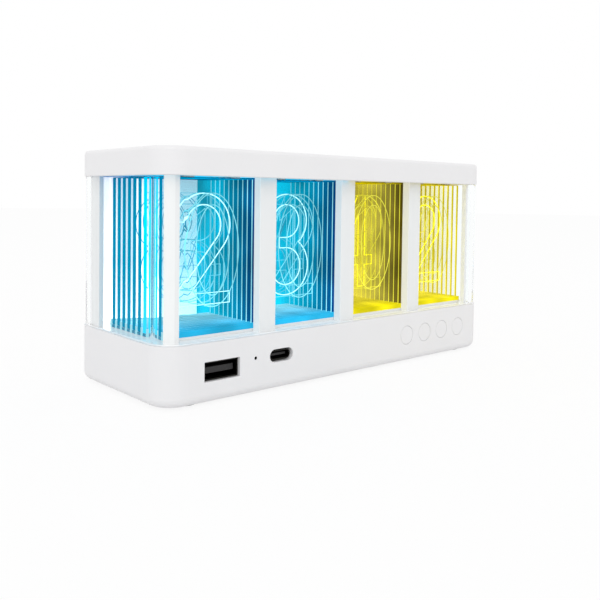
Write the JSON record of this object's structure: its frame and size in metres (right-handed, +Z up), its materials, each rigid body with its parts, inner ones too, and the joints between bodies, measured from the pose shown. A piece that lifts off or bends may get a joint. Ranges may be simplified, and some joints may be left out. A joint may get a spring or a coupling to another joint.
{
  "type": "wireless charging alarm clock",
  "caption": "Desk alarm clock with a clear band of edge-lit engraved digit plates between a white base with ports and push buttons and a flat charging cap.",
  "frame": {"origin": "on the table, under the middle of the body", "axes": "+X along the length, to the right seen from the front; +Y from front to back; +Z up"},
  "size_m": [0.162, 0.059, 0.0808],
  "materials": {
    "white_shell": "fine satin moulding",
    "white_frame": "smooth moulding",
    "clear_acrylic": "polished clear",
    "cyan_plate": "clear plate lit at its edge",
    "yellow_plate": "clear plate lit at its edge",
    "grey_foam": "soft foam",
    "circuit_board": "solder mask",
    "cyan_light": "lit",
    "yellow_light": "lit",
    "bright_metal": "plated",
    "black_metal": "black plated",
    "black_plastic": "moulded",
    "lead_sheath": "sheathed",
    "ferrite": "sintered",
    "copper_winding": "enamelled wire",
    "foot_rubber": "matte"
  },
  "bodies": {
    "clock_body": {"base_tray": "white_shell", "top_cap": "white_shell", "deck_plate": "white_frame", "cap_liner": "white_frame", "rear_panel": "white_frame", "lead_cover": "white_frame", "corner_post_left": "white_frame", "corner_post_right": "white_frame", "divider_left": "white_frame", "divider_middle": "white_frame", "divider_right": "white_frame", "plate_comb_1": "white_frame", "plate_comb_2": "white_frame", "plate_comb_3": "white_frame", "plate_comb_4": "white_frame", "clear_sleeve": "clear_acrylic", "digit_plates_1": "cyan_plate", "digit_plates_2": "cyan_plate", "digit_plates_3": "yellow_plate", "digit_plates_4": "yellow_plate", "foam_strips": "grey_foam", "main_board": "circuit_board", "charger_board": "circuit_board", "led_rows_1": "cyan_light", "led_rows_2": "cyan_light", "led_rows_3": "yellow_light", "led_rows_4": "yellow_light", "outlet_shell": "black_metal", "inlet_shell": "black_metal", "coin_cell": "bright_metal", "clock_crystal": "bright_metal", "base_screws": "bright_metal", "frame_screws": "bright_metal", "liner_screws": "bright_metal", "board_screws": "bright_metal", "outlet_tongue": "black_plastic", "inlet_tongue": "black_plastic", "microphone": "black_plastic", "buzzer": "black_plastic", "cell_holder": "black_plastic", "controller_chip": "black_plastic", "charger_chip": "black_plastic", "key_switch_1": "black_plastic", "key_switch_2": "black_plastic", "key_switch_3": "black_plastic", "key_switch_4": "black_plastic", "charge_lead": "lead_sheath", "ferrite_sheet": "ferrite", "charge_coil": "copper_winding", "rubber_feet": "foot_rubber"},
    "push_button_1": {"button_1": "white_shell", "switch_plunger_1": "black_plastic"},
    "push_button_2": {"button_2": "white_shell", "switch_plunger_2": "black_plastic"},
    "push_button_3": {"button_3": "white_shell", "switch_plunger_3": "black_plastic"},
    "push_button_4": {"button_4": "white_shell", "switch_plunger_4": "black_plastic"}
  },
  "joints": [
    {"name": "button_press_1", "type": "slide", "parent": "clock_body", "child": "push_button_1", "axis": [0, 1, 0], "range_m": [0, 0.0005], "stiffness_N_per_m": 300, "springref_m": -0.001},
    {"name": "button_press_2", "type": "slide", "parent": "clock_body", "child": "push_button_2", "axis": [0, 1, 0], "range_m": [0, 0.0005], "stiffness_N_per_m": 300, "springref_m": -0.001},
    {"name": "button_press_3", "type": "slide", "parent": "clock_body", "child": "push_button_3", "axis": [0, 1, 0], "range_m": [0, 0.0005], "stiffness_N_per_m": 300, "springref_m": -0.001},
    {"name": "button_press_4", "type": "slide", "parent": "clock_body", "child": "push_button_4", "axis": [0, 1, 0], "range_m": [0, 0.0005], "stiffness_N_per_m": 300, "springref_m": -0.001}
  ]
}
